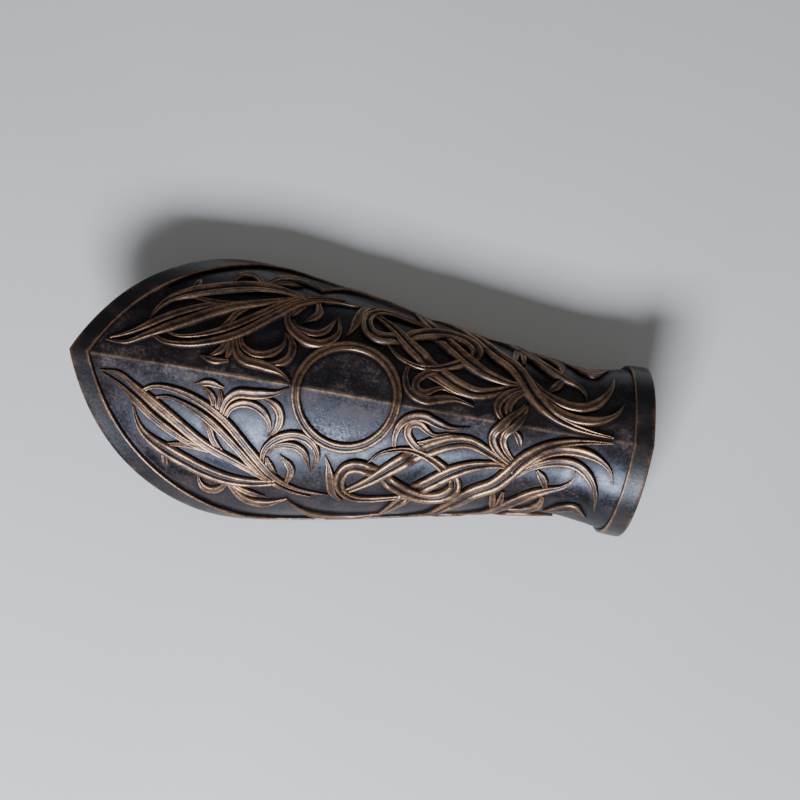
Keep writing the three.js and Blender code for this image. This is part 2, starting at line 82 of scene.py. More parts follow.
# Tendrils of one half: width over the foot, height over the wall, share of the width left at
# either end, whether it has a groove, and its path as places (length from the elbow tip,
# distance out from the ridge).
STRANDS = (
    Strand("spear_upper", 4.4, 2.0, (0.15, 0.7), False,
           ((15.8, 7), (25, 7), (34, 12.1), (52, 22.7), (70, 32.8), (84, 37.5), (99, 42.8))),
    Strand("spear_lower", 3.4, 1.7, (0.15, 0.6), False,
           ((17, 7.9), (26.7, 12.6), (43.5, 24.1), (58, 31.3), (66, 34), (74, 35.6))),
    Strand("leaf_upper", 3.6, 2.0, (0.6, 0.15), False,
           ((37, 13.6), (40, 11.4), (45, 10.1), (58, 11.6), (75, 19), (91.4, 32.3), (102, 40.9),
            (114, 45), (129, 45))),
    Strand("leaf_lower", 3.4, 1.8, (0.3, 0.15), False,
           ((41.5, 16.6), (45.5, 14.8), (51, 14.4), (67, 19.9), (84.5, 31.8), (96, 40.7),
            (109, 46.4), (121, 47.2))),
    Strand("under_leaf", 6.0, 1.9, (0.15, 0.6), True,
           ((33.3, 20), (36.3, 27.2), (41, 32.6), (58, 40.2), (79, 45.8), (96, 45.4), (104, 43.6))),
    Strand("under_hook", 3.4, 1.6, (0.15, 0.7), False,
           ((67.2, 46), (68.7, 51.1), (74, 52.7), (79.5, 50.3), (81.5, 46.8))),
    Strand("keel_crescent", 3.9, 1.8, (0.6, 0.15), False,
           ((81.8, 47.3), (86, 51.2), (92, 54), (100, 53.8), (110, 50))),
    Strand("horn", 4.2, 2.0, (0.6, 0.15), False,
           ((75.2, 18.6), (76, 14), (77.8, 10.4), (81.5, 7.6), (90, 6.6), (99, 4.6), (104.4, 1.4))),
    Strand("claw_outer", 3.6, 1.8, (0.5, 0.15), False,
           ((91.4, 7.6), (97, 8.7), (101, 11.4), (102.5, 15.9), (101, 21.1), (97.4, 24.6))),
    Strand("claw_inner", 3.4, 1.7, (0.6, 0.15), False,
           ((77.4, 20.6), (78, 17), (80, 13.8), (85, 11.5), (90.5, 12), (95.5, 15), (98, 19),
            (97.6, 24))),
    Strand("curl_outer", 3.9, 2.0, (0.6, 0.15), False,
           ((97, 37), (96.4, 32), (100, 26.3), (106, 22.6), (112, 21.5), (118, 23.3), (122, 29),
            (120, 37.3))),
    Strand("curl_inner", 3.4, 1.8, (0.5, 0.15), False,
           ((99.5, 31.5), (101, 28.6), (106, 26.6), (112, 26.6), (116.2, 29.4), (119.6, 36.6))),
    Strand("spur", 3.4, 1.6, (0.7, 0.15), False,
           ((109, 43), (110.4, 36.7), (104.6, 31.3))),
    Strand("stub", 3.9, 1.8, (0.15, 0.3), False,
           ((125.6, 28.5), (128, 33.1), (129.4, 39), (131.5, 45.2), (136, 46.4))),
    Strand("swan_stem", 6.5, 1.8, (0.5, 0.5), True,
           ((136, 42.8), (147, 36.3), (154, 30.7), (164, 23.1), (173, 17.2), (183, 12.6),
            (191, 11.4), (202, 14.9), (211, 19))),
    Strand("arch_loop", 5.7, 2.3, (0.15, 0.4), True,
           ((145.5, 27.9), (150, 23.3), (157, 20.2), (164, 19.1), (173, 20.8), (183, 26),
            (188.2, 31.5), (185, 35.5), (178, 38.2), (169, 38.2), (160, 35.8), (150, 31.7),
            (141, 30.2), (135.6, 32.2), (133, 37), (134.5, 42.2), (142, 44.5), (151.5, 43),
            (160, 40.9), (166, 39.4))),
    Strand("bridge_stem", 6.2, 2.0, (0.15, 0.5), True,
           ((152, 53), (158.5, 46), (165, 40), (169.5, 36.2), (176, 31.8), (184, 26.3),
            (193, 21.8), (205, 19), (211, 19))),
    Strand("long_crescent", 6.2, 2.2, (0.15, 0.12), True,
           ((164, 56), (171, 50.5), (178, 45.4), (184, 41), (190, 37.2), (196, 32.7),
            (205, 28.1), (211, 22.4), (216.5, 15.6), (226, 8), (235, 4.2), (245, 2.2),
            (256.5, 1.2))),
    Strand("spiral_outer", 3.9, 1.9, (0.6, 0.12), False,
           ((156.6, 18.6), (156.2, 13.4), (158.2, 7.9), (162.3, 4.8), (168.3, 3.7), (174, 5.3),
            (181, 6.6), (190, 4.7))),
    Strand("spiral_inner", 3.4, 1.8, (0.6, 0.15), False,
           ((178, 22.8), (170.7, 19), (164.7, 15.7), (161.6, 11.7), (162.4, 8), (166.5, 7),
            (170.6, 9.4), (174, 10.8), (181, 8.6))),
    Strand("twist_a", 3.6, 2.1, (0.6, 0.6), False,
           ((211.4, 17.2), (207, 14.9), (203, 11.5), (200.9, 8.1), (201.3, 4.7), (204.6, 1))),
    Strand("twist_b", 3.4, 1.8, (0.6, 0.6), False,
           ((212, 15.5), (207.8, 11.5), (206, 7.5), (206.8, 4.1), (210.2, 1))),
    Strand("mid_crescent", 3.9, 2.0, (0.6, 0.12), False,
           ((213, 21.6), (220.4, 14.9), (228, 9.7), (236, 7.4), (244, 7.3), (251, 9), (257, 13),
            (259.7, 18.4))),
    Strand("low_crescent", 3.9, 2.0, (0.6, 0.12), False,
           ((213.6, 23.2), (220.4, 17.8), (228, 14.3), (235, 12.8), (242, 13.4), (248, 17),
            (253, 24), (254.5, 31.6))),
    Strand("wrist_hook", 4.4, 1.9, (0.12, 0.2), False,
           ((242, 16.2), (241.2, 20.2), (237, 23.8), (230, 26.2), (222, 29.8), (212, 35.6),
            (204, 40), (197, 44.5), (190, 49))),
    Strand("base_crescent", 4.4, 1.8, (0.15, 0.15), False,
           ((231.4, 35), (238.5, 32.4), (245, 31.2), (251.5, 35))),
    Strand("cross_stem", 3.1, 1.5, (0.6, 0.6), False,
           ((50.7, 35.2), (58, 33.9), (70, 34.2), (82, 37))),
    Strand("twig", 3.1, 1.5, (0.5, 0.6), False,
           ((67, 21.4), (70.5, 25.4), (73, 30), (78, 34.4))),
    Strand("thorn", 3.1, 1.5, (0.8, 0.15), False,
           ((50, 38.5), (51, 42), (52, 45.4))),
    Strand("keel_inner", 2.9, 1.6, (0.6, 0.15), False,
           ((83.6, 47.8), (91.4, 50), (99.8, 50.7))),
    Strand("sprig_bar", 2.9, 1.5, (0.15, 0.5), False,
           ((60.8, 6.6), (68, 5), (74.6, 6.2))),
    Strand("sprig_stem_a", 2.9, 1.5, (0.5, 0.6), False,
           ((65.6, 7), (70, 11), (72.4, 17.4))),
    Strand("sprig_stem_b", 2.9, 1.5, (0.5, 0.6), False,
           ((73.2, 7.2), (74, 11.5), (73.6, 18))),
    Strand("curl_foot", 3.1, 1.5, (0.5, 0.6), False,
           ((98.6, 33.5), (100.4, 37), (103.6, 40))),
    Strand("leaf_tail", 3.1, 1.6, (0.5, 0.12), False,
           ((165.5, 16), (173, 13.6), (180, 11), (190, 8.1))),
    Strand("twist_spur", 2.9, 1.6, (0.5, 0.12), False,
           ((209.6, 2.6), (212.6, 5.2), (215, 10.1))),
    Strand("hook_tie", 3.6, 1.6, (0.5, 0.6), False,
           ((224, 18.3), (227.5, 21.6), (230, 25.5))),
    Strand("base_loop", 3.9, 1.6, (0.5, 0.5), False,
           ((215, 36.9), (223, 35.8), (228.4, 33.4), (229.4, 29))),
    Strand("side_sprig_a", 2.9, 1.5, (0.6, 0.15), False,
           ((205.4, 29), (206.2, 33), (207, 38.4))),
    Strand("side_sprig_b", 2.9, 1.5, (0.6, 0.15), False,
           ((210.6, 30), (210, 34), (208.6, 38))),
    Strand("flank_run", 3.9, 1.8, (0.15, 0.15), False,
           ((110, 50.5), (121, 54.5), (133, 55.5), (145, 53), (156, 48.5))),
    Strand("flank_leaf", 3.6, 1.7, (0.15, 0.15), False,
           ((121.5, 54.4), (130, 57.4), (140, 59), (151, 57.6))),
    Strand("flank_curl", 3.6, 1.7, (0.15, 0.2), False,
           ((176, 58.5), (181, 53), (189, 50.5), (196, 52.5), (199, 57))),
    Strand("flank_tail", 3.4, 1.6, (0.15, 0.3), False,
           ((206, 53), (212, 47), (220, 43), (229, 42.5), (237, 46))),
)

# Where one tendril dips under another: the one below, and the place.
DIPS = (
    ("swan_stem", 167, 20.8),
    ("arch_loop", 185.5, 27.5),
    ("arch_loop", 152, 32.2),
    ("bridge_stem", 168, 37.6),
    ("spiral_inner", 174, 20.8),
)

# The twist of the -Y half runs on over the ridge, and the other half's twist dips under it.
TWIST_OVER = {
    "twist_a": ((208.4, -3.4), (211.4, -6.8), (213.6, -10.2)),
    "twist_b": ((213, -2.6), (214.6, -6.2), (215.4, -9.4)),
}

Knot = namedtuple("Knot", "across up crest")


def both_halves(*knots):
    """A profile that is even about its middle, from the knots up to the middle."""
    turned = [Knot(-k.across, k.up, k.crest) for k in reversed(knots) if k.across]
    return (*knots, *turned)


# Profiles cut across a tendril, border or ring: place across and height as parts of the half
# width and of the full height, and how far the copper is rubbed there.
PLAIN_PROFILE = both_halves(
    Knot(-1.0, 0.0, 0.0), Knot(-0.96, 0.38, 0.0), Knot(-0.86, 0.7, 0.55), Knot(-0.71, 0.93, 1.0),
    Knot(-0.54, 1.0, 1.0), Knot(-0.3, 0.93, 0.66), Knot(0.0, 0.86, 0.48),
)
GROOVED_PROFILE = both_halves(
    Knot(-1.0, 0.0, 0.0), Knot(-0.97, 0.36, 0.0), Knot(-0.89, 0.69, 0.5), Knot(-0.76, 0.92, 1.0),
    Knot(-0.58, 1.0, 0.95), Knot(-0.34, 0.97, 0.9), Knot(-0.17, 0.82, 0.6), Knot(-0.06, 0.62, 0.05),
)
BORDER_PROFILE = (
    Knot(-1.0, 0.0, 0.0), Knot(-1.0, 0.55, 0.2), Knot(-0.98, 0.82, 0.9), Knot(-0.92, 0.97, 1.0),
    Knot(-0.82, 1.0, 0.5), Knot(-0.5, 0.98, 0.12), Knot(0.0, 0.97, 0.08), Knot(0.5, 0.98, 0.12),
    Knot(0.78, 1.0, 0.4), Knot(0.9, 1.0, 1.0), Knot(0.97, 0.88, 1.0), Knot(1.0, 0.6, 0.3),
    Knot(1.0, 0.0, 0.0),
)
RING_PROFILE = both_halves(
    Knot(-1.0, 0.0, 0.0), Knot(-0.99, 0.5, 0.2), Knot(-0.93, 0.82, 0.8), Knot(-0.76, 1.0, 1.0),
    Knot(-0.46, 0.98, 0.95), Knot(-0.2, 0.85, 0.62), Knot(0.0, 0.76, 0.34),
)


class GuardSizes(PropertyGroup):
    """Sizes of the guard."""

    wall: FloatProperty(name="Wall", description="Thickness of the moulded wall",
                        default=0.003, unit="LENGTH")
    border_width: FloatProperty(name="Border width", description="Width of the border on the edge",
                                default=0.009, unit="LENGTH")
    border_height: FloatProperty(name="Border height",
                                 description="Height of the borders over the wall",
                                 default=0.002, unit="LENGTH")
    wrist_width: FloatProperty(name="Wrist border", description="Width of the border at the wrist",
                               default=0.0095, unit="LENGTH")
    gap: FloatProperty(name="Gap", description="Gap between separate pieces",
                       default=0.0003, unit="LENGTH")
    ring_place: FloatProperty(name="Ring place",
                              description="Middle of the ring from the elbow tip",
                              default=0.131, unit="LENGTH")
    ring_inner: FloatProperty(name="Ring inside", description="Inner radius of the ring in plan",
                              default=0.0213, unit="LENGTH")
    ring_outer: FloatProperty(name="Ring outside", description="Outer radius of the ring in plan",
                              default=0.0258, unit="LENGTH")
    ring_height: FloatProperty(name="Ring height", description="Height of the ring over the wall",
                               default=0.002, unit="LENGTH")
    fullness: FloatProperty(name="Fullness",
                            description="Width of a tendril over the table's width",
                            default=1.18, min=0.5, max=2.0)
    relief: FloatProperty(name="Relief", description="Height of a tendril over the table's height",
                          default=1.22, min=0.5, max=2.0)
    pitch: FloatProperty(name="Pitch", description="Distance between the points along a tendril",
                         default=0.0009, unit="LENGTH")
    foot: FloatProperty(name="Foot", description="Depth of a tendril's foot in the wall",
                        default=0.0008, unit="LENGTH")
    strap_width: FloatProperty(name="Strap width", description="Width of a strap",
                               default=0.022, unit="LENGTH")
    strap_thick: FloatProperty(name="Strap thickness", description="Thickness of a strap",
                               default=0.0022, unit="LENGTH")
    strap_clear: FloatProperty(name="Strap clearance",
                               description="Height of a strap over the floor",
                               default=0.0006, unit="LENGTH")
    elbow_strap: FloatProperty(name="Elbow strap",
                               description="Middle of the elbow strap from the tip",
                               default=0.128, unit="LENGTH")
    wrist_strap: FloatProperty(name="Wrist strap",
                               description="Middle of the wrist strap from the tip",
                               default=0.222, unit="LENGTH")


class GuardColours(PropertyGroup):
    """Colours of the guard and of the floor under it."""

    # The patina colour is also the colour that the wall's painted shade darkens to.
    patina: FloatVectorProperty(name="Patina", description="Near-black patina in the low places",
                                default=(0.008, 0.0065, 0.007), subtype="COLOR", min=0, max=1)
    brown: FloatVectorProperty(name="Brown", description="Brown that shows through the patina",
                               default=(0.026, 0.017, 0.0145), subtype="COLOR", min=0, max=1)
    copper: FloatVectorProperty(name="Copper", description="Copper rubbed over the raised edges",
                                default=(0.2, 0.093, 0.053), subtype="COLOR", min=0, max=1)
    bronze: FloatVectorProperty(name="Bronze", description="Paler places of the rubbed copper",
                                default=(0.34, 0.208, 0.113), subtype="COLOR", min=0, max=1)
    strap: FloatVectorProperty(name="Strap", description="Dull leather of the straps",
                               default=(0.03, 0.021, 0.016), subtype="COLOR", min=0, max=1)
    floor: FloatVectorProperty(name="Floor", description="Pale floor",
                               default=(0.79, 0.75, 0.68), subtype="COLOR", min=0, max=1)


def column(name, x):
    """One column of the section table, read smoothly at any length."""
    places = np.array(SECTIONS["x"], float)
    values = np.array(SECTIONS[name], float)
    last = len(places) - 1
    order = np.arange(last + 1)
    before = np.maximum(order - 1, 0)
    after = np.minimum(order + 1, last)
    slopes = (values[after] - values[before]) / (places[after] - places[before])
    at = np.clip(x, 0, LENGTH)
    i = np.clip(np.searchsorted(places, at) - 1, 0, last - 1)
    span = places[i + 1] - places[i]
    t = (at - places[i]) / span
    s = 1 - t
    pull = slopes[i] * span * t * s * s - slopes[i + 1] * span * t * t * s
    past = np.where(x < at, slopes[0], slopes[last]) * (x - at)
    return values[i] * (1 + 2 * t) * s * s + values[i + 1] * t * t * (3 - 2 * t) + pull + past


def wall_point(x, share):
    """Points of the wall's outer face: share 0 is the ridge, 1 the widest line."""
    x, share = np.broadcast_arrays(np.asarray(x, float), np.asarray(share, float))
    leave = np.radians(column("leave", x))
    ridge = column("ridge", x)
    drop = ridge - column("widest", x)
    angle = leave + np.abs(share) * (np.pi / 2 - leave)
    out = column("half", x) * (np.sin(angle) - np.sin(leave)) / (1 - np.sin(leave))
    fall = drop * (np.cos(leave) - np.cos(angle)) / np.cos(leave)
    return np.stack([x, np.sign(share) * out, ridge - fall], axis=-1)


def share_at(x, out):
    """Share of the side at a distance out from the ridge, also on past the widest line."""
    leave = np.radians(column("leave", x))
    part = np.minimum(np.abs(out) / column("half", x), PLAN_LIMIT)
    angle = np.arcsin(np.sin(leave) + part * (1 - np.sin(leave)))
    further = np.maximum(np.abs(out) - PLAN_LIMIT * column("half", x), 0) / SIDE_ROUND
    return np.sign(out) * ((angle - leave) / (np.pi / 2 - leave) + further)


def share_at_floor(x):
    """Share of the side at which the wall meets the floor."""
    leave = np.radians(column("leave", x))
    ridge = column("ridge", x)
    angle = np.arccos(np.cos(leave) * (1 - ridge / (ridge - column("widest", x))))
    return (angle - leave) / (np.pi / 2 - leave)


def share_at_edge(x):
    """Share of the side at which the wall ends, on the arch or on the floor."""
    arch = (np.sqrt(ARCH_LEAD ** 2 + 4 * ARCH_SWEEP * x) - ARCH_LEAD) / (2 * ARCH_SWEEP)
    floor = share_at_floor(x)
    turn = np.maximum(EDGE_TURN - np.abs(arch - floor), 0) / EDGE_TURN
    return np.minimum(arch, floor) - turn * turn * EDGE_TURN / 4


def wrist_x(share):
    """Place of the wrist edge at a share of the side."""
    return LENGTH - WRIST_LEAD * np.abs(share) - WRIST_SWEEP * share * share


def wall_out(x, share, soft=0.03):
    """The way out of the wall, turned upright on the ridge."""
    side = np.where(share < 0, -1.0, 1.0)
    near = side * np.maximum(np.abs(share), soft)
    along = wall_point(x + 1, near) - wall_point(x - 1, near)
    down = wall_point(x, near + 0.01) - wall_point(x, near - 0.01)
    out = np.cross(along, down)
    out /= np.linalg.norm(out, axis=-1, keepdims=True)
    out[..., 1] *= np.minimum(np.abs(share) / soft, 1)
    return out / np.linalg.norm(out, axis=-1, keepdims=True)


def skin(x, share, rise):
    """Points at a height over the wall's outer face."""
    return wall_point(x, share) + wall_out(x, share) * np.asarray(rise)[..., None]


def girth(x, share):
    """Distance round the side from the ridge, signed by side."""
    x, share = np.broadcast_arrays(np.asarray(x, float), np.asarray(share, float))
    total = np.zeros(x.shape)
    here = wall_point(x, share * 0)
    steps = 40
    for k in range(1, steps + 1):
        after = wall_point(x, share * k / steps)
        total += np.linalg.norm(after - here, axis=-1)
        here = after
    return np.sign(share) * total


def flat(x, share):
    """Places on the wall laid flat: length from the tip, distance round from the ridge."""
    x, share = np.broadcast_arrays(np.asarray(x, float), np.asarray(share, float))
    return np.stack([x, girth(x, share)], axis=-1)


def on_side(knots, side):
    """Knots given by length and distance out, as places on one half of the flat wall."""
    x, out = np.array(knots, float).T
    return flat(x, share_at(x, side * out))


def in_frame(points):
    """Millimetres from the elbow tip as metres of the frame."""
    return (np.asarray(points) - (LENGTH / 2, 0, 0)) * MM


def soft_step(low, high, value):
    """A smooth step from 0 to 1."""
    t = np.clip((value - low) / (high - low), 0, 1)
    return t * t * (3 - 2 * t)


def fade(full, none, value):
    """A smooth step from 1 down to 0."""
    return 1 - soft_step(full, none, value)


def smooth_path(knots, per_span=16):
    """Points of a centripetal curve through the knots."""
    spots = np.array(knots, float)
    spots = np.vstack([2 * spots[0] - spots[1], spots, 2 * spots[-1] - spots[-2]])
    made = []
    for a, b, c, d in zip(spots, spots[1:], spots[2:], spots[3:]):
        t1 = np.linalg.norm(b - a) ** 0.5
        t2 = t1 + np.linalg.norm(c - b) ** 0.5
        t3 = t2 + np.linalg.norm(d - c) ** 0.5
        t = np.linspace(t1, t2, per_span, endpoint=False)[:, None]
        ab = a + (b - a) * t / t1
        bc = b + (c - b) * (t - t1) / (t2 - t1)
        cd = c + (d - c) * (t - t2) / (t3 - t2)
        abc = ab + (bc - ab) * t / t2
        bcd = bc + (cd - bc) * (t - t1) / (t3 - t1)
        made.append(abc + (bcd - abc) * (t - t1) / (t2 - t1))
    return np.vstack([*made, spots[-2]])


def even_path(points, pitch):
    """The same path with points at even distances."""
    steps = np.linalg.norm(np.diff(points, axis=0), axis=1)
    run = np.concatenate([[0], np.cumsum(steps)])
    count = max(6, int(round(run[-1] / pitch)) + 1)
    at = np.linspace(0, run[-1], count)
    return np.stack([np.interp(at, run, points[:, k]) for k in range(points.shape[1])], axis=-1)


# Distances round from the ridge where the easing of bends begins and where it is full, and the
# number of points on either side that it reads.
EASE_FROM = 30
EASE_FULL = 42
EASE_REACH = 11


def soften(spots, reach=EASE_REACH):
    """The same flat path with its bends eased where it runs down the side, its ends kept."""
    before = 2 * spots[0] - spots[reach:0:-1]
    after = 2 * spots[-1] - spots[-2:-reach - 2:-1]
    padded = np.vstack([before, spots, after])
    window = np.hanning(2 * reach + 3)[1:-1]
    window /= window.sum()
    eased = np.stack([np.convolve(padded[:, k], window, "valid") for k in (0, 1)], axis=-1)
    share = soft_step(EASE_FROM, EASE_FULL, np.abs(spots[:, 1]))[:, None]
    return spots + (eased - spots) * share


def beside(points):
    """Ways square to a flat path, lengthened at its corners so that a band keeps its width."""
    runs = np.diff(points, axis=0)
    runs /= np.linalg.norm(runs, axis=1, keepdims=True)
    first = np.vstack([runs[:1], runs])
    second = np.vstack([runs, runs[-1:]])
    left = np.stack([-first[:, 1], first[:, 0]], axis=-1)
    right = np.stack([-second[:, 1], second[:, 0]], axis=-1)
    middle = left + right
    middle /= np.linalg.norm(middle, axis=1, keepdims=True)
    return middle / np.sum(middle * left, axis=1, keepdims=True)


Rail = namedtuple("Rail", "spots across half rise ringed")

# Parts of its width that a tendril has near its ends, and gains in the middle.
SWELL_LEAST = 0.86
SWELL_MORE = 0.3
# Parts of its height that a tendril keeps where it is thinnest, under another, and on the ridge.
THIN_KEEPS = 0.45
DIP_KEEPS = 0.25
RIDGE_KEEPS = 0.3
# Width left at the end of a twist that runs on over the ridge, and its lift there.
TWIST_END = 0.15
TWIST_LIFT = 0.7


def lowered(rise, keeps, near, far, distance):
    """A height that sinks to a part of itself close to a place."""
    return rise * (keeps + (1 - keeps) * soft_step(near, far, distance))


def strand_rail(strand, side, sizes, pitch):
    """The rail of one tendril on one half."""
    knots = strand.path
    ends = strand.ends
    over = TWIST_OVER.get(strand.name)
    if over and side < 0:
        knots = knots + over
        ends = (ends[0], TWIST_END)
    spots = even_path(smooth_path(on_side(knots, side)), pitch)
    if len(spots) > 2 * EASE_REACH + 2:
        spots = soften(spots)
    t = np.linspace(0, 1, len(spots))
    grow = ends[0] + (1 - ends[0]) * np.minimum(3 * t, 1)
    thin = ends[1] + (1 - ends[1]) * np.minimum(3 * (1 - t), 1)
    swell = np.minimum(grow, thin) * (SWELL_LEAST + SWELL_MORE * np.sin(np.pi * t))
    rise = sizes.relief * strand.high * (THIN_KEEPS + (1 - THIN_KEEPS) * np.minimum(swell, 1))
    for below, x, out in DIPS:
        if below == strand.name:
            far = np.linalg.norm(spots - on_side([(x, out)], side), axis=1)
            rise = lowered(rise, DIP_KEEPS, 1.5, 6.5, far)
    if over and side > 0:
        rise = lowered(rise, RIDGE_KEEPS, 1.5, 6.0, spots[:, 1])
    if over and side < 0:
        rise = rise + TWIST_LIFT * fade(3.0, 7.0, np.abs(spots[:, 1]))
    return Rail(spots, beside(spots), swell * strand.width * sizes.fullness / 2, rise, False)


def new_object(name, mesh):
    """An object at the origin that shows in the scene."""
    made = bpy.data.objects.new(name, mesh)
    bpy.context.scene.collection.objects.link(made)
    return made


def set_values(mesh, name, values, kind="FLOAT"):
    """Puts one value on each point of a mesh."""
    field = "vector" if kind == "FLOAT_VECTOR" else "value"
    layer = mesh.attributes.new(name, kind, "POINT")
    layer.data.foreach_set(field, np.asarray(values, np.float32).ravel())


def rail_object(name, rails):
    """Rails of the flat wall as one object of edges."""
    points, edges, across, half, rise = [], [], [], [], []
    for rail in rails:
        start = len(points)
        count = len(rail.spots)
        points.extend((x * MM, g * MM, 0.0) for x, g in rail.spots)
        edges.extend((start + k, start + k + 1) for k in range(count - 1))
        if rail.ringed:
            edges.append((start + count - 1, start))
        across.extend((x, g, 0.0) for x, g in rail.across)
        half.extend(np.broadcast_to(rail.half, count) * MM)
        rise.extend(np.broadcast_to(rail.rise, count) * MM)
    mesh = bpy.data.meshes.new(name)
    mesh.from_pydata(points, edges, [])
    set_values(mesh, "beside", across, "FLOAT_VECTOR")
    set_values(mesh, "half", half)
    set_values(mesh, "rise", rise)
    return new_object(name, mesh)


def profile_object(name, knots):
    """The outline of a band or tendril, cut across."""
    mesh = bpy.data.meshes.new(name)
    count = len(knots)
    points = [(k.across * MM, k.up * MM, 0.0) for k in knots]
    mesh.from_pydata(points, [(k, (k + 1) % count) for k in range(count)], [])
    set_values(mesh, "across", [k.across for k in knots])
    set_values(mesh, "up", [k.up for k in knots])
    set_values(mesh, "crest", [k.crest for k in knots])
    return new_object(name, mesh)


# How the flat wall is fitted into the square of the UV map.
CHART_SCALE = 2.0
CHART_SHIFT = (0.05, 0.5)
# The chart's points along and round the wall, and how far it runs on past the ends and the sides.
CHART_POINTS = (198, 229)
CHART_PAST = 10
CHART_SIDE = 1.9
# Lowest place of a laid point: nothing goes through the floor.
LOWEST = (-10.0, -10.0, 0.0)


def wall_chart():
    """The wall run on past its edges, with its flat places as a UV map."""
    x = np.linspace(-CHART_PAST, LENGTH + CHART_PAST, CHART_POINTS[0])
    share = np.linspace(-CHART_SIDE, CHART_SIDE, CHART_POINTS[1])
    xs, shares = np.meshgrid(x, share, indexing="ij")
    rows, columns = xs.shape
    points = in_frame(wall_point(xs, shares)).reshape(-1, 3)
    ids = np.arange(rows * columns).reshape(rows, columns)
    faces = np.stack([ids[:-1, :-1], ids[1:, :-1], ids[1:, 1:], ids[:-1, 1:]], axis=-1)
    mesh = bpy.data.meshes.new("wall_chart")
    mesh.from_pydata(points.tolist(), [], faces.reshape(-1, 4).tolist())
    set_values(mesh, "out", wall_out(xs, shares).reshape(-1, 3), "FLOAT_VECTOR")
    spots = flat(xs, shares).reshape(-1, 2) * MM * CHART_SCALE + CHART_SHIFT
    corner = np.empty(len(mesh.loops), np.int32)
    mesh.loops.foreach_get("vertex_index", corner)
    mesh.uv_layers.new(name="flat")
    mesh.uv_layers["flat"].data.foreach_set("uv", spots[corner].astype(np.float32).ravel())
    return new_object("wall_chart", mesh)


def add_node(tree, kind, inputs=None, **settings):
    """A node with its settings made and its inputs set or wired."""
    node = tree.nodes.new(kind)
    for key, value in settings.items():
        setattr(node, key, value)
    for key, value in (inputs or {}).items():
        if isinstance(value, bpy.types.NodeSocket):
            tree.links.new(value, node.inputs[key])
        else:
            node.inputs[key].default_value = value
    return node


def lay_tree():
    """The node tree that sweeps a profile along rails and lays it on the wall."""
    tree = bpy.data.node_groups.new("lay_on_wall", "GeometryNodeTree")
    face = tree.interface
    face.new_socket("Rails", in_out="INPUT", socket_type="NodeSocketGeometry")
    face.new_socket("Wall chart", in_out="INPUT", socket_type="NodeSocketObject")
    face.new_socket("Profile", in_out="INPUT", socket_type="NodeSocketObject")
    face.new_socket("Foot", in_out="INPUT", socket_type="NodeSocketFloat")
    face.new_socket("Finish", in_out="INPUT", socket_type="NodeSocketMaterial")
    face.new_socket("Laid", in_out="OUTPUT", socket_type="NodeSocketGeometry")
    given = add_node(tree, "NodeGroupInput").outputs

    def named(name, kind="FLOAT"):
        node = add_node(tree, "GeometryNodeInputNamedAttribute", {"Name": name}, data_type=kind)
        return node.outputs["Attribute"]

    def vector(operation, a, b):
        node = add_node(tree, "ShaderNodeVectorMath", {0: a, 1: b}, operation=operation)
        return node.outputs["Vector"]

    def number(operation, a, b):
        node = add_node(tree, "ShaderNodeMath", {0: a, 1: b}, operation=operation)
        return node.outputs["Value"]

    def scaled(a, by):
        node = add_node(tree, "ShaderNodeVectorMath", {0: a, "Scale": by}, operation="SCALE")
        return node.outputs["Vector"]

    rails = add_node(tree, "GeometryNodeMeshToCurve", {"Mesh": given["Rails"]})
    place = add_node(tree, "GeometryNodeInputPosition")
    kept = add_node(tree, "GeometryNodeStoreNamedAttribute",
                    {"Geometry": rails.outputs["Curve"], "Name": "spot"},
                    data_type="FLOAT_VECTOR", domain="POINT")
    tree.links.new(place.outputs["Position"], kept.inputs["Value"])
    cut = add_node(tree, "GeometryNodeObjectInfo", {"Object": given["Profile"]})
    outline = add_node(tree, "GeometryNodeMeshToCurve", {"Mesh": cut.outputs["Geometry"]})
    swept = add_node(tree, "GeometryNodeCurveToMesh",
                     {"Curve": kept.outputs["Geometry"], "Profile Curve": outline.outputs["Curve"],
                      "Fill Caps": True})
    aside = scaled(named("beside", "FLOAT_VECTOR"),
                   number("MULTIPLY", named("across"), named("half")))
    spot = vector("ADD", named("spot", "FLOAT_VECTOR"), aside)
    on_chart = vector("ADD", scaled(spot, CHART_SCALE), (*CHART_SHIFT, 0.0))
    chart = add_node(tree, "GeometryNodeObjectInfo", {"Object": given["Wall chart"]})

    def on_wall(value):
        node = add_node(tree, "GeometryNodeSampleUVSurface",
                        {"Mesh": chart.outputs["Geometry"], "Value": value,
                         "UV Map": named("flat", "FLOAT_VECTOR"), "Sample UV": on_chart},
                        data_type="FLOAT_VECTOR")
        return node.outputs["Value"]

    tall = number("MULTIPLY", named("up"), number("ADD", named("rise"), given["Foot"]))
    rise = number("SUBTRACT", tall, given["Foot"])
    laid = vector("ADD", on_wall(place.outputs["Position"]),
                  scaled(on_wall(named("out", "FLOAT_VECTOR")), rise))
    above = vector("MAXIMUM", laid, LOWEST)
    moved = add_node(tree, "GeometryNodeSetPosition",
                     {"Geometry": swept.outputs["Mesh"], "Position": above})
    smooth = add_node(tree, "GeometryNodeSetShadeSmooth", {"Geometry": moved.outputs["Geometry"]})
    real = add_node(tree, "GeometryNodeRealizeInstances", {"Geometry": smooth.outputs["Geometry"]})
    clad = add_node(tree, "GeometryNodeSetMaterial",
                    {"Geometry": real.outputs["Geometry"], "Material": given["Finish"]})
    add_node(tree, "NodeGroupOutput", {"Laid": clad.outputs["Geometry"]})
    return tree


def tidy(mesh, merge=1e-7):
    """Merges doubles, drops flat slivers and turns the faces out."""
    made = bmesh.new()
    made.from_mesh(mesh)
    bmesh.ops.remove_doubles(made, verts=made.verts, dist=merge)
    bmesh.ops.dissolve_degenerate(made, edges=made.edges, dist=merge)
    bmesh.ops.recalc_face_normals(made, faces=made.faces)
    made.to_mesh(mesh)
    made.free()


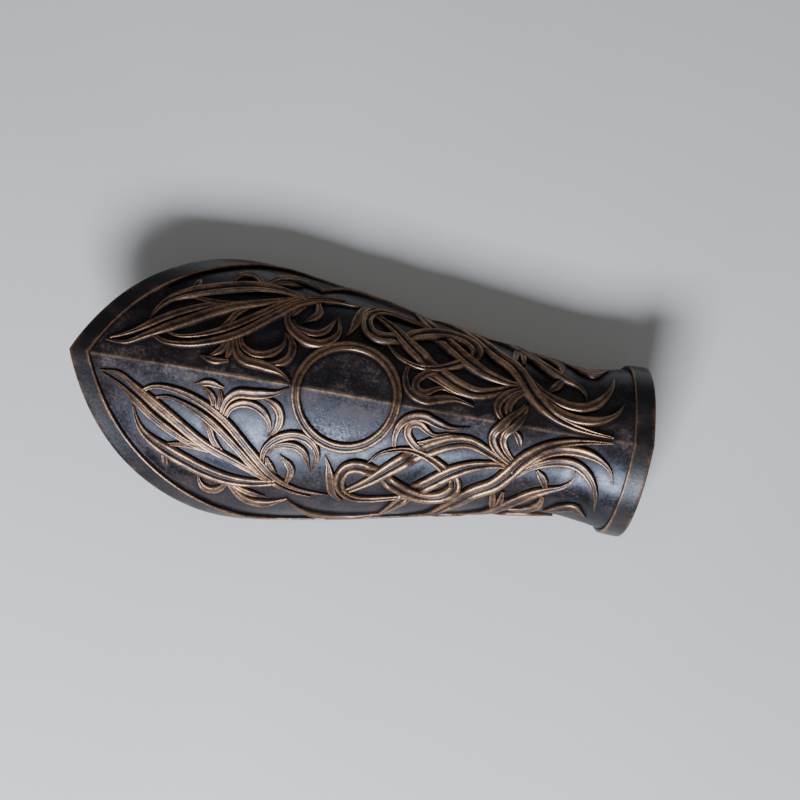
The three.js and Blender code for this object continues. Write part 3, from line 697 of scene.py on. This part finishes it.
def lay(name, rails, knots, foot, finish):
    """A piece of tendrils or bands, laid on the wall by the node tree."""
    tree = bpy.data.node_groups.get("lay_on_wall") or lay_tree()
    chart = bpy.data.objects.get("wall_chart") or wall_chart()
    rail = rail_object(name + "_rail", rails)
    profile = profile_object(name + "_profile", knots)
    given = {"Wall chart": chart, "Profile": profile, "Foot": foot, "Finish": finish}
    sweep = rail.modifiers.new("Lay", "NODES")
    sweep.node_group = tree
    for item in tree.interface.items_tree:
        if item.in_out == "INPUT" and item.name in given:
            sweep[item.identifier] = given[item.name]
    graph = bpy.context.evaluated_depsgraph_get()
    mesh = bpy.data.meshes.new_from_object(rail.evaluated_get(graph))
    rail.modifiers.remove(sweep)
    for spare in (rail, profile):
        bpy.data.meshes.remove(spare.data)
    if not mesh.polygons:
        raise RuntimeError(name + " came out empty")
    for spare in ("spot", "beside", "half", "rise", "across", "up"):
        if spare in mesh.attributes:
            mesh.attributes.remove(mesh.attributes[spare])
    tidy(mesh)
    mesh.name = name
    if finish.name not in mesh.materials:
        mesh.materials.append(finish)
    return new_object(name, mesh)


SHARP_FROM = math.radians(16)


def slab(name, top, bottom, values, finish):
    """A closed piece between two grids of points, with values for the points of both."""
    rows, columns = top.shape[:2]
    layer = rows * columns
    ids = np.arange(layer).reshape(rows, columns)
    upper = np.stack([ids[:-1, :-1], ids[1:, :-1], ids[1:, 1:], ids[:-1, 1:]], axis=-1)
    quads = [upper.reshape(-1, 4)]
    quads.append(quads[0][:, ::-1] + layer)
    for line in (ids[:, 0], ids[::-1, -1], ids[0, ::-1], ids[-1, :]):
        quads.append(np.stack([line[:-1], line[:-1] + layer, line[1:] + layer, line[1:]], axis=-1))
    points = np.vstack([top.reshape(-1, 3), bottom.reshape(-1, 3)])
    mesh = bpy.data.meshes.new(name)
    mesh.from_pydata(points.tolist(), [], np.vstack(quads).tolist())
    for key, (upper, lower) in values.items():
        both = [np.broadcast_to(part, (rows, columns)).ravel() for part in (upper, lower)]
        set_values(mesh, key, np.concatenate(both))
    tidy(mesh)
    mesh.shade_smooth()
    mesh.set_sharp_from_angle(angle=SHARP_FROM)
    mesh.materials.append(finish)
    return new_object(name, mesh)


class Finish:
    """A material in the making, with short ways to its nodes."""

    def __init__(self, name):
        self.material = bpy.data.materials.new(name)
        self.material.use_nodes = True
        self.tree = self.material.node_tree
        self.shader = self.tree.nodes["Principled BSDF"]
        self.place = add_node(self.tree, "ShaderNodeTexCoord").outputs["Object"]

    def value(self, name):
        """A value kept on the points of the piece."""
        return add_node(self.tree, "ShaderNodeAttribute", attribute_name=name).outputs["Fac"]

    def noise(self, size, detail=4.0, rough=0.55, stretch=(1, 1, 1)):
        """Soft noise with spots of about the given size in metres."""
        scaled = add_node(self.tree, "ShaderNodeMapping", {"Vector": self.place, "Scale": stretch})
        node = add_node(self.tree, "ShaderNodeTexNoise",
                        {"Vector": scaled.outputs["Vector"], "Scale": 1 / size, "Detail": detail,
                         "Roughness": rough})
        return node.outputs["Fac"]

    def pits(self, size):
        """Small cells, low in their middles."""
        node = add_node(self.tree, "ShaderNodeTexVoronoi",
                        {"Vector": self.place, "Scale": 1 / size})
        return node.outputs["Distance"]

    def spread(self, value, low, high, to_low=0.0, to_high=1.0):
        """A value stretched from one range to another, with soft ends."""
        node = add_node(self.tree, "ShaderNodeMapRange",
                        {"Value": value, "From Min": low, "From Max": high, "To Min": to_low,
                         "To Max": to_high}, interpolation_type="SMOOTHSTEP")
        return node.outputs["Result"]

    def sum(self, operation, a, b):
        """Two values put together."""
        node = add_node(self.tree, "ShaderNodeMath", {0: a, 1: b}, operation=operation)
        return node.outputs["Value"]

    def mix(self, share, a, b):
        """Two colours mixed by a share."""
        node = add_node(self.tree, "ShaderNodeMix", {0: share}, data_type="RGBA")
        for key, colour in ((6, a), (7, b)):
            if isinstance(colour, bpy.types.NodeSocket):
                self.tree.links.new(colour, node.inputs[key])
            else:
                node.inputs[key].default_value = (*colour, 1.0)
        return node.outputs[2]

    def bump(self, height, strength, depth, over=None):
        """Fine relief from a height, on top of another where one is given."""
        inputs = {"Height": height, "Strength": strength, "Distance": depth}
        if over is not None:
            inputs["Normal"] = over
        return add_node(self.tree, "ShaderNodeBump", inputs).outputs["Normal"]

    def wire(self, **sockets):
        """Wires or sets the shader's inputs, named with underscores."""
        for key, value in sockets.items():
            socket = self.shader.inputs[key.replace("_", " ")]
            if isinstance(value, bpy.types.NodeSocket):
                self.tree.links.new(value, socket)
            else:
                socket.default_value = value
        return self.material


def wall_finish(colours):
    """Near-black patina over brown with painted shade, rubbed on the ridge, pitted in the ring."""
    made = Finish("antiqued_wall")
    cloud = made.noise(0.022, 6, 0.62)
    grain = made.noise(0.0014, 6, 0.65)
    wave = made.noise(0.009, 2, 0.4)
    fleck = made.pits(0.001)
    # low is the painted shade kept on the wall's points.
    low = made.value("low_place")
    ring = made.value("ring_field")
    ground = made.mix(made.spread(cloud, 0.38, 0.7), colours.patina, colours.brown)
    tan = [4.2 * c + 0.02 for c in colours.brown]
    bare = made.sum("MAXIMUM", made.sum("MAXIMUM", ring, made.value("beside_ridge")), 0.35)
    speck = made.spread(grain, 0.42, 0.68, 0.15, 1.0)
    patch = made.spread(made.noise(0.011, 6, 0.7), 0.4, 0.66, 0.1, 1.0)
    brown = made.sum("MULTIPLY", bare, made.sum("MULTIPLY", speck, patch))
    ground = made.mix(brown, ground, tan)
    worn = made.sum("MULTIPLY", made.value("rubbed"),
                    made.spread(made.noise(0.012, 6, 0.75), 0.36, 0.68, 0.08, 1.0))
    ground = made.mix(worn, ground, colours.bronze)
    # Painted shade: the wall turns to the patina colour where the shade mark is high.
    ground = made.mix(made.sum("MULTIPLY", low, 0.9), ground, colours.patina)
    rough = made.spread(made.noise(0.03, 3, 0.5), 0.3, 0.7, 0.19, 0.3)
    for more in (made.sum("MULTIPLY", low, 0.14),
                 made.spread(grain, 0.35, 0.7, -0.03, 0.1),
                 made.sum("MULTIPLY", bare, made.spread(patch, 0, 1, 0.03, 0.2)),
                 made.sum("MULTIPLY", ring, made.spread(speck, 0.15, 1, 0.02, 0.2))):
        rough = made.sum("ADD", rough, more)
    rough_ring = made.spread(ring, 0, 1, 0.04, 0.13)
    pitted = made.bump(made.sum("MULTIPLY", fleck, rough_ring), 0.5, 0.0004)
    tooled = made.bump(wave, 0.3, 0.0006, pitted)
    relief = made.bump(made.sum("MULTIPLY", grain, rough_ring), 0.7, 0.0005, tooled)
    return made.wire(Base_Color=ground, Roughness=rough, Metallic=made.sum("MULTIPLY", worn, 0.7),
                     Normal=relief, Specular_IOR_Level=0.34, Specular_Tint=(0.83, 0.87, 1.0, 1.0))


def raised_finish(name, colours, most, patch):
    """Copper rubbed over the raised edges, patina left in the grooves and on the flanks."""
    made = Finish(name)
    crest = made.value("crest")
    blotch = made.noise(patch, 5, 0.65)
    grain = made.noise(0.0012, 5, 0.65)
    scratch = made.noise(0.0022, 4, 0.6, (0.25, 1, 1))
    worn = made.sum("ADD", crest, made.spread(blotch, 0.3, 0.7, -0.3, 0.22))
    worn = made.sum("ADD", worn, made.spread(scratch, 0.3, 0.7, -0.16, 0.16))
    worn = made.spread(worn, 0.22, 1.0, 0.0, most)
    dark = made.mix(made.spread(blotch, 0.4, 0.7), colours.patina, colours.brown)
    bright = made.sum("MULTIPLY", worn, made.spread(grain, 0.25, 0.6, 0.55, 1.0))
    metal = made.mix(made.spread(bright, 0.5, 0.95), colours.copper, colours.bronze)
    tone = made.mix(worn, dark, metal)
    rough = made.sum("ADD", made.spread(worn, 0, 1, 0.32, 0.3),
                     made.spread(grain, 0.3, 0.7, -0.04, 0.1))
    relief = made.bump(grain, 0.2, 0.0003, made.bump(scratch, 0.14, 0.0004))
    return made.wire(Base_Color=tone, Roughness=rough, Metallic=made.sum("MULTIPLY", worn, 0.85),
                     Normal=relief, Specular_IOR_Level=0.42)


def strap_finish(colours):
    """Dull plain leather with a pebbled grain and darker edges."""
    made = Finish("strap_leather_plain")
    cell = made.pits(0.0019)
    cloud = made.noise(0.014, 4)
    edge = made.value("edge")
    tone = made.mix(made.spread(cloud, 0.35, 0.7), colours.strap, [1.9 * c for c in colours.strap])
    tone = made.mix(made.spread(cell, 0.1, 0.5, 0.5, 0.0), tone, colours.patina)
    tone = made.mix(made.sum("MULTIPLY", edge, 0.7), tone, colours.patina)
    rough = made.spread(cell, 0.0, 0.6, 0.75, 0.58)
    return made.wire(Base_Color=tone, Roughness=rough, Normal=made.bump(cell, 0.4, 0.0004))


def floor_finish(colours):
    """A pale matt floor with the faintest unevenness."""
    made = Finish("pale_floor")
    cloud = made.noise(0.3, 3)
    tone = made.mix(made.spread(cloud, 0.3, 0.7), colours.floor, [0.94 * c for c in colours.floor])
    return made.wire(Base_Color=tone, Roughness=made.spread(cloud, 0.2, 0.8, 0.82, 0.9),
                     Normal=made.bump(made.noise(0.002, 3), 0.05, 0.0003))


def border_places():
    """The edge of both halves on the flat wall, from the wrist of +Y round the tip to the other."""
    points, crowding = 900, 1.4
    wrist_room, tip_room = 9.8, 4.2
    x = LENGTH * np.linspace(0, 1, points) ** crowding
    share = share_at_edge(x)
    half = flat(x, share)
    keep = x <= wrist_x(share) - wrist_room
    from_tip = np.linalg.norm(half, axis=1)
    half = half[keep & ((from_tip > tip_room) | (x == 0))]
    other = half[1:] * (1, -1)
    return np.vstack([half[::-1], other])


# Rows across a strap and points along it, and the steps up inside the wall, as shares of the side,
# by which its end turns up.
STRAP_ROWS = 15
STRAP_POINTS = 90
STRAP_TURN = (0.3, 0.24, 0.18, 0.12, 0.06)
# Room between a strap and the wall beyond the gap, and the radius of its turn, in millimetres.
STRAP_ROOM = 0.15
STRAP_BEND = 3.0


def strap_grid(x, sizes):
    """The two faces of a strap across the open back, turned up inside the wall at its ends."""
    wall = sizes.wall / MM
    thick = sizes.strap_thick / MM
    depth = wall + sizes.gap / MM + thick / 2 + STRAP_ROOM
    middle_z = sizes.strap_clear / MM + thick / 2
    across = np.sin(np.linspace(-1, 1, STRAP_ROWS) * np.pi / 2)
    shares = np.linspace(0.4, 1.8, 600)
    top, bottom = [], []

    def inside(at, share):
        """Points of the strap's middle layer, inside the wall."""
        return skin(np.full(len(share), at), share, np.full(len(share), -depth))

    for a in across:
        at = x + a * sizes.strap_width / MM / 2
        foot = shares[np.argmax(inside(at, shares)[:, 2] < middle_z)]
        turn = inside(at, foot - np.array(STRAP_TURN))[:, 1:]
        corner = inside(at, np.array([foot]))[0, 1]
        ends = [(corner - STRAP_BEND, middle_z), (corner * 0.5, middle_z), (0, middle_z)]
        half = np.vstack([turn, ends])
        line = even_path(smooth_path(np.vstack([half, half[-2::-1] * (-1, 1)]), 12), 1.6)
        whole = np.linalg.norm(np.diff(line, axis=0), axis=1).sum()
        line = even_path(line, whole / (STRAP_POINTS - 1))[:STRAP_POINTS]
        square = beside(line)
        square /= np.linalg.norm(square, axis=1, keepdims=True)
        swell = thick / 2 * (1 - abs(a) ** 10 * 0.75)
        for side, rows in ((1, top), (-1, bottom)):
            laid = line + square * side * swell
            above = np.maximum(laid[:, 1], 0.1)
            rows.append(np.column_stack([np.full(len(line), at), laid[:, 0], above]))
    return in_frame(np.array(top)), in_frame(np.array(bottom)), np.abs(across)[:, None] ** 8


def settle(piece, slot, *nodes):
    """Fixes a finished piece to the body of the frame."""
    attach(piece, "root")
    if nodes:
        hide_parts(*nodes)


class GUARD_OT_tendrils(Operator):
    """Lay the raised tendrils of both halves on the wall."""

    bl_idname = "guard.tendrils"
    bl_label = "Tendrils"

    def execute(self, context):
        sizes = context.scene.guard_sizes
        finish = raised_finish("rubbed_tendrils", context.scene.guard_colours, 0.92, 0.012)
        for name, groove, knots in (("tendrils_plain", False, PLAIN_PROFILE),
                                    ("tendrils_grooved", True, GROOVED_PROFILE)):
            rails = [strand_rail(strand, side, sizes, sizes.pitch / MM)
                     for strand in STRANDS if strand.groove == groove for side in (-1, 1)]
            settle(lay(name, rails, knots, sizes.foot, finish), "shell_leather")
        return {"FINISHED"}


# Points of the wall along and round it, the first place behind the tip, how its rows crowd
# towards the tip, and the length from which the rows begin to lean with the wrist edge.
WALL_POINTS = (230, 161)
WALL_START = 0.25
WALL_CROWDING = 1.25
WRIST_FROM = 170
# Distance between the places that stand for a tendril when the wall is marked.
MARK_PITCH = 1.5


class GUARD_OT_wall(Operator):
    """Build the moulded wall with its ridge and open back."""

    bl_idname = "guard.wall"
    bl_label = "Wall"

    def execute(self, context):
        sizes = context.scene.guard_sizes
        wall = sizes.wall / MM
        rows, columns = WALL_POINTS
        x = WALL_START + (LENGTH - WALL_START) * np.linspace(0, 1, rows) ** WALL_CROWDING
        xs, t = np.meshgrid(x, np.linspace(-1, 1, columns), indexing="ij")
        share = t * share_at_edge(xs)
        blend = soft_step(WRIST_FROM, LENGTH, xs)
        place = xs - (LENGTH - wrist_x(share)) * blend
        top = skin(place, share, np.zeros_like(place))
        bottom = skin(place, share, np.full_like(place, -wall))
        top[..., 2] = np.maximum(top[..., 2], 0)
        bottom[..., 2] = np.maximum(bottom[..., 2], 0)
        values = self.marks(sizes, place, share)
        finish = wall_finish(context.scene.guard_colours)
        piece = slab("moulded_wall", in_frame(top), in_frame(bottom), values, finish)
        settle(piece, "shell_leather", "shell")
        return {"FINISHED"}

    def marks(self, sizes, place, share):
        """Painted shade near relief, borders, ring and sides; the rubbed ridge; the ring's field.
        """
        rails = [strand_rail(strand, side, sizes, MARK_PITCH)
                 for strand in STRANDS for side in (-1, 1)]
        spots = np.vstack([rail.spots for rail in rails])
        halves = np.concatenate([np.broadcast_to(rail.half, len(rail.spots)) for rail in rails])
        tree = kdtree.KDTree(len(spots))
        for k, (a, b) in enumerate(spots):
            tree.insert((a, b, 0), k)
        tree.balance()
        here = flat(place, share)
        near = np.empty(place.shape)
        for k in np.ndindex(place.shape):
            _, nearest, far = tree.find((*here[k], 0))
            near[k] = far - halves[nearest]
        # Painted shade: the wall darkens close beside each tendril, where its shadow falls.
        low = fade(0.2, 2.6, near)
        from_ridge = np.abs(here[..., 1])
        from_edge = girth(place, share_at_edge(np.clip(place, 0, LENGTH))) - from_ridge
        # More painted shade in a band inside the border and down the steep sides.
        low = np.maximum(low, fade(9.0, 12.5, from_edge))
        low = np.maximum(low, 0.75 * soft_step(0.7, 1.02, np.abs(share)))
        plan = wall_point(place, share)
        round_ring = np.hypot(plan[..., 0] - sizes.ring_place / MM, plan[..., 1])
        inner = sizes.ring_inner / MM
        outer = sizes.ring_outer / MM
        field = fade(inner - 1.5, inner + 0.5, round_ring)
        beside_ring = np.minimum(np.abs(round_ring - inner), np.abs(round_ring - outer))
        # Painted shade close beside the ring.
        low = np.maximum(low, fade(0.2, 2.0, beside_ring))
        rubbed = fade(0.1, 1.1, from_ridge)
        ridge = fade(4.0, 17.0, from_ridge)
        # The inner face holds a steady part of the painted shade.
        return {"low_place": (low, 0.4), "rubbed": (rubbed, 0), "ring_field": (field, 0),
                "beside_ridge": (ridge, 0)}


# Place, back from the wrist edge, where the wrist border's reach down to the floor is measured,
# the share of the side that it runs on past that, and its points.
WRIST_BACK = 8
WRIST_OVER = 0.01
WRIST_POINTS = 281
RING_POINTS = 240


class GUARD_OT_borders(Operator):
    """Lay the border bands along the free edge and across the wrist."""

    bl_idname = "guard.borders"
    bl_label = "Borders"

    def execute(self, context):
        sizes = context.scene.guard_sizes
        finish = raised_finish("rubbed_borders", context.scene.guard_colours, 0.9, 0.016)
        high = sizes.border_height / MM
        half = sizes.border_width / MM / 2
        edge = border_places()
        inward = beside(edge)
        rail = Rail(edge + inward * half, inward, half, high, False)
        settle(lay("border_edge", [rail], BORDER_PROFILE, sizes.gap, finish),
               "border_leather", "edge_rim")
        half = sizes.wrist_width / MM / 2
        reach = float(share_at_floor(np.array(LENGTH - WRIST_BACK))) + WRIST_OVER
        share = np.linspace(-reach, reach, WRIST_POINTS)
        middle = flat(wrist_x(share) - half, share)
        rail = Rail(middle, np.tile((-1.0, 0.0), (len(share), 1)), half, high, False)
        settle(lay("border_wrist", [rail], BORDER_PROFILE, sizes.gap, finish),
               "border_leather", "wrist_rim")
        return {"FINISHED"}


class GUARD_OT_ring(Operator):
    """Lay the ring over the ridge."""

    bl_idname = "guard.ring"
    bl_label = "Ring"

    def execute(self, context):
        sizes = context.scene.guard_sizes
        finish = raised_finish("rubbed_ring", context.scene.guard_colours, 0.9, 0.012)
        turn = np.linspace(0, 2 * np.pi, RING_POINTS, endpoint=False)

        def circle(radius):
            x = sizes.ring_place / MM + radius * np.cos(turn)
            return flat(x, share_at(x, radius * np.sin(turn)))

        inner = circle(sizes.ring_inner / MM)
        outer = circle(sizes.ring_outer / MM)
        rail = Rail((inner + outer) / 2, (outer - inner) / 2, 1.0, sizes.ring_height / MM, True)
        settle(lay("ring_over_ridge", [rail], RING_PROFILE, sizes.gap, finish),
               "border_leather", "ring_boss")
        return {"FINISHED"}


class GUARD_OT_straps(Operator):
    """Build the two straps across the open back."""

    bl_idname = "guard.straps"
    bl_label = "Straps"

    def execute(self, context):
        sizes = context.scene.guard_sizes
        finish = strap_finish(context.scene.guard_colours)
        for name, node, place in (("strap_at_elbow", "elbow_strap", sizes.elbow_strap),
                                  ("strap_at_wrist", "wrist_strap", sizes.wrist_strap)):
            top, bottom, edge = strap_grid(place / MM, sizes)
            piece = slab(name, top, bottom, {"edge": (edge, edge)}, finish)
            settle(piece, "strap_leather", node)
        return {"FINISHED"}


Lamp = namedtuple("Lamp", "name place size power colour")

# A cool soft light low from -Y, and weak ones from above and behind, in metres and watts.
LAMPS = (
    Lamp("key_light", (-0.08, -0.88, 0.78), (0.46, 0.3), 27.5, (0.74, 0.83, 1.0)),
    Lamp("top_light", (-0.35, 0.1, 1.3), (0.8, 0.8), 1.2, (0.92, 0.95, 1.0)),
    Lamp("back_light", (0.5, 0.9, 0.8), (0.9, 0.5), 0.5, (1.0, 0.93, 0.86)),
)
SKY_COLOUR = (0.6, 0.66, 0.76, 1)
SKY_STRENGTH = 0.14
FLOOR_REACH = 12.0

# The camera: its turn about the upright and its lean off it in degrees, its distance and the width
# that it sees there, the width of its sensor in millimetres, and the point that it looks at.
VIEW_TURN = 9.7
VIEW_LEAN = 6.8
VIEW_AWAY = 0.7
VIEW_WIDTH = 0.3694
VIEW_SENSOR = 36
VIEW_TARGET = (0.0183, 0.0019, 0.056)


class GUARD_OT_stage(Operator):
    """Set out the pale floor, the soft lights and the camera."""

    bl_idname = "guard.stage"
    bl_label = "Stage"

    def execute(self, context):
        self.floor(context)
        self.lights(context)
        self.camera(context)
        return {"FINISHED"}

    def floor(self, context):
        """A wide floor under the guard."""
        mesh = bpy.data.meshes.new("floor")
        corners = ((-1, -1), (1, -1), (1, 1), (-1, 1))
        mesh.from_pydata([(x * FLOOR_REACH, y * FLOOR_REACH, 0) for x, y in corners],
                         [], [(0, 1, 2, 3)])
        mesh.materials.append(floor_finish(context.scene.guard_colours))
        new_object("floor", mesh)

    def lights(self, context):
        """The lamps, each turned to the guard, and a dim sky."""
        for row in LAMPS:
            lamp = bpy.data.lights.new(row.name, "AREA")
            lamp.shape = "RECTANGLE"
            lamp.size, lamp.size_y = row.size
            lamp.energy = row.power
            lamp.color = row.colour
            made = new_object(row.name, lamp)
            made.location = row.place
            made.rotation_euler = Vector(row.place).to_track_quat("Z", "Y").to_euler()
        world = bpy.data.worlds.new("studio")
        world.use_nodes = True
        sky = world.node_tree.nodes["Background"]
        sky.inputs["Color"].default_value = SKY_COLOUR
        sky.inputs["Strength"].default_value = SKY_STRENGTH
        context.scene.world = world

    def camera(self, context):
        """Almost straight down, from a little to the -Y side, the guard turned in the frame."""
        turn = math.radians(VIEW_TURN)
        lean = math.radians(VIEW_LEAN)
        right = Vector((math.cos(turn), math.sin(turn), 0))
        up = Vector((-math.sin(turn), math.cos(turn), 0))
        back = Vector((0, 0, math.cos(lean))) - up * math.sin(lean)
        lens = bpy.data.cameras.new("camera")
        lens.sensor_width = VIEW_SENSOR
        lens.lens = VIEW_SENSOR * VIEW_AWAY / VIEW_WIDTH
        made = new_object("camera", lens)
        facing = Matrix((right, back.cross(right), back)).transposed()
        stand = Vector(VIEW_TARGET) + back * VIEW_AWAY
        made.matrix_world = Matrix.Translation(stand) @ facing.to_4x4()
        context.scene.camera = made


class GUARD_PT_panel(Panel):
    """Lists the steps that build the guard."""

    bl_label = "Forearm Guard"
    bl_idname = "GUARD_PT_panel"
    bl_space_type = "VIEW_3D"
    bl_region_type = "UI"
    bl_category = "Guard"

    def draw(self, context):
        layout = self.layout
        for step in STEPS:
            layout.operator(step.bl_idname)
        for group in (context.scene.guard_sizes, context.scene.guard_colours):
            box = layout.box()
            for key in group.__annotations__:
                box.prop(group, key)


STEPS = (GUARD_OT_tendrils, GUARD_OT_wall, GUARD_OT_borders, GUARD_OT_ring, GUARD_OT_straps,
         GUARD_OT_stage)
CLASSES = (GuardSizes, GuardColours, *STEPS, GUARD_PT_panel)


def register():
    """Adds the classes and the guard's settings."""
    for kind in CLASSES:
        bpy.utils.register_class(kind)
    bpy.types.Scene.guard_sizes = PointerProperty(type=GuardSizes)
    bpy.types.Scene.guard_colours = PointerProperty(type=GuardColours)


def unregister():
    """Takes away the settings and the classes."""
    del bpy.types.Scene.guard_colours
    del bpy.types.Scene.guard_sizes
    for kind in reversed(CLASSES):
        bpy.utils.unregister_class(kind)


def main():
    """Builds the guard and its stage."""
    register()
    bpy.ops.guard.tendrils()
    bpy.ops.guard.wall()
    bpy.ops.guard.borders()
    bpy.ops.guard.ring()
    bpy.ops.guard.straps()
    bpy.data.meshes.remove(bpy.data.meshes["wall_chart"])
    bpy.ops.guard.stage()


if __name__ == "__main__":
    main()
